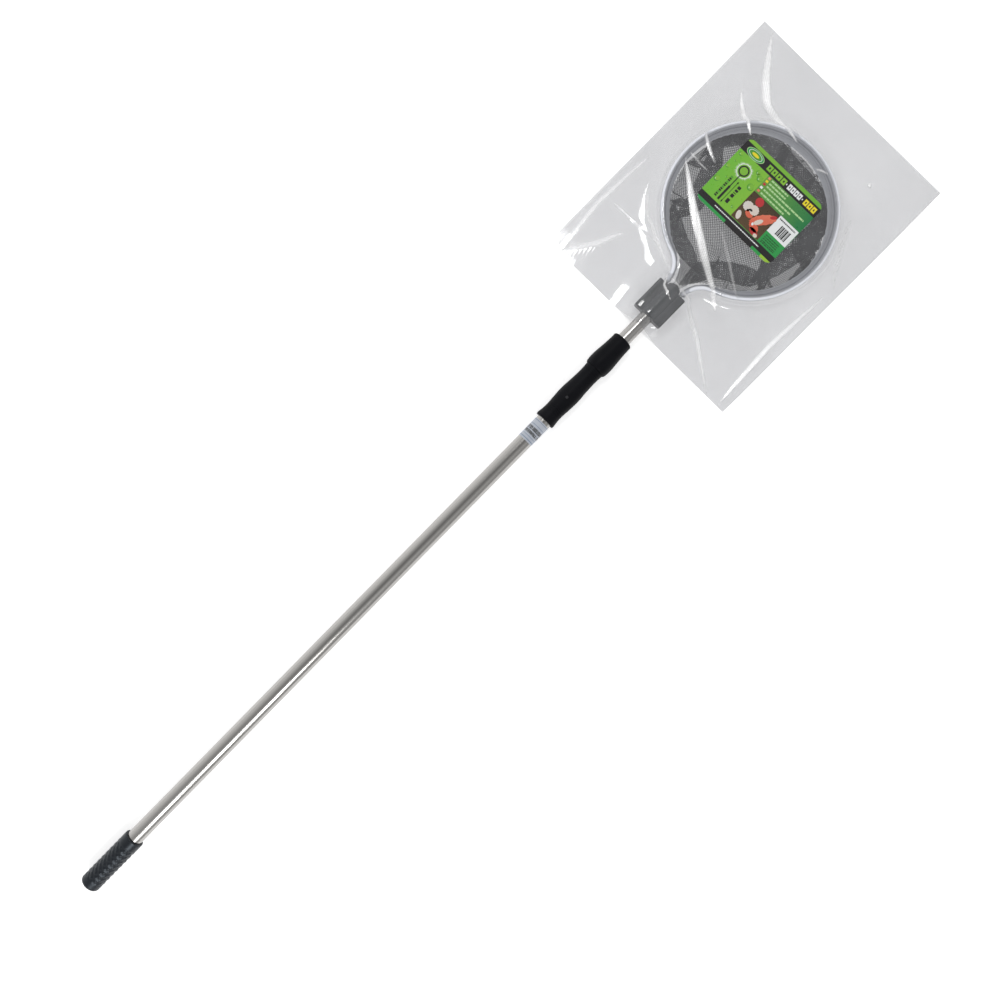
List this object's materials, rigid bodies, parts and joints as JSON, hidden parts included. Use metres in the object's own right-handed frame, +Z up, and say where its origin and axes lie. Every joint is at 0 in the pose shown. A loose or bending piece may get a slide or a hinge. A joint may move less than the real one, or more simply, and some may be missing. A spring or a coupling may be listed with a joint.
{
  "type": "telescopic pond net",
  "caption": "Round-hoop pond and leaf net on a twist-lock telescopic pole, lying flat with its head in an open clear bag that carries a printed card.",
  "frame": {"origin": "middle of the footprint on the surface that the packed net lies on", "axes": "+X along the pole from the grip's butt to the net's head, +Z up, square to the hoop"},
  "size_m": [1.5084, 0.343, 0.0346],
  "materials": {
    "tube_metal": "drawn tube, polished",
    "grip_rubber": "soft moulded rubber, satin",
    "sticker_film": "white printed film with plain grey-blue lines",
    "lock_plastic": "moulded black plastic, satin",
    "collet_plastic": "natural acetal",
    "bush_plastic": "moulded plastic",
    "yoke_plastic": "moulded dark grey plastic, satin",
    "fastener_steel": "zinc plated",
    "wire_steel": "galvanised, drawn",
    "hem_fabric": "woven polyester tape, grey",
    "seam_thread": "twisted polyester thread",
    "netting": "knotless polyester netting, dark grey",
    "bag_film": "clear glossy polypropylene film",
    "card_board": "printed glossy card in greens and black"
  },
  "bodies": {
    "outer_pole": {"outer_tube": "tube_metal", "end_grip": "grip_rubber", "tube_sticker": "sticker_film", "lock_sleeve": "lock_plastic", "sleeve_pin": "lock_plastic", "clamp_collet": "collet_plastic"},
    "lock_nut": {"lock_collar": "lock_plastic"},
    "slider": {"guide_bush": "bush_plastic"},
    "head": {"inner_tube": "tube_metal", "yoke_top": "yoke_plastic", "yoke_bottom": "yoke_plastic", "yoke_screws": "fastener_steel", "tube_pin": "fastener_steel", "hoop_wire": "wire_steel", "net_hem": "hem_fabric", "hem_seam": "seam_thread", "net_pocket": "netting"},
    "packing": {"bag_front_film": "bag_film", "bag_back_film": "bag_film", "label_card": "card_board"}
  },
  "joints": [
    {"name": "lock_turn", "type": "hinge", "parent": "outer_pole", "child": "lock_nut", "pos_m": [0.26725, 0, 0.0173], "axis": [1, 0, 0], "range_deg": [0, 180]},
    {"name": "pole_extend", "type": "slide", "parent": "outer_pole", "child": "slider", "axis": [1, 0, 0], "range_m": [0, 0.9]},
    {"name": "pole_twist", "type": "hinge", "parent": "slider", "child": "head", "pos_m": [0.26725, 0, 0.0173], "axis": [1, 0, 0], "range_deg": [-180, 180]},
    {"name": "bag_pull", "type": "slide", "parent": "head", "child": "packing", "axis": [1, 0, 0], "range_m": [0, 0.38]}
  ]
}
